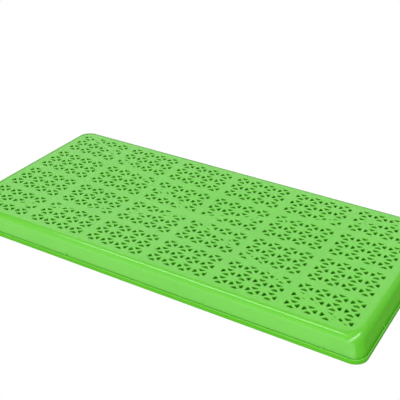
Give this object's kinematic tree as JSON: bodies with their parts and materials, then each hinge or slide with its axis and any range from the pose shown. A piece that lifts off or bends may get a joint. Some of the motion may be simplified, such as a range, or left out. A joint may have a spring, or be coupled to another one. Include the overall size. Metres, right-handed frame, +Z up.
{
  "type": "perforated nest tray",
  "caption": "Shallow rectangular plastic tray, shown upside down: perforated floor with crossed triangular holes, leaning walls and a narrow lipped rim.",
  "frame": {"origin": "middle of the face the rim rests on, with the tray upside down as it is shown", "axes": "+X along the tray's length, +Y along its width, +Z up through the perforated floor"},
  "size_m": [0.6, 0.305, 0.025],
  "materials": {
    "green_plastic": "moulded"
  },
  "bodies": {
    "root": {"floor_frame": "green_plastic", "floor_panel_r1c1": "green_plastic", "floor_panel_r1c2": "green_plastic", "floor_panel_r1c3": "green_plastic", "floor_panel_r1c4": "green_plastic", "floor_panel_r1c5": "green_plastic", "floor_panel_r1c6": "green_plastic", "floor_panel_r2c1": "green_plastic", "floor_panel_r2c2": "green_plastic", "floor_panel_r2c3": "green_plastic", "floor_panel_r2c4": "green_plastic", "floor_panel_r2c5": "green_plastic", "floor_panel_r2c6": "green_plastic", "floor_panel_r3c1": "green_plastic", "floor_panel_r3c2": "green_plastic", "floor_panel_r3c3": "green_plastic", "floor_panel_r3c4": "green_plastic", "floor_panel_r3c5": "green_plastic", "floor_panel_r3c6": "green_plastic", "floor_panel_r4c1": "green_plastic", "floor_panel_r4c2": "green_plastic", "floor_panel_r4c3": "green_plastic", "floor_panel_r4c4": "green_plastic", "floor_panel_r4c5": "green_plastic", "floor_panel_r4c6": "green_plastic", "wall_front": "green_plastic", "wall_back": "green_plastic", "wall_left": "green_plastic", "wall_right": "green_plastic", "wall_corner_front_left": "green_plastic", "wall_corner_front_right": "green_plastic", "wall_corner_back_left": "green_plastic", "wall_corner_back_right": "green_plastic", "rim_front": "green_plastic", "rim_back": "green_plastic", "rim_left": "green_plastic", "rim_right": "green_plastic", "rim_corner_front_left": "green_plastic", "rim_corner_front_right": "green_plastic", "rim_corner_back_left": "green_plastic", "rim_corner_back_right": "green_plastic", "rim_gussets": "green_plastic"}
  },
  "joints": []
}
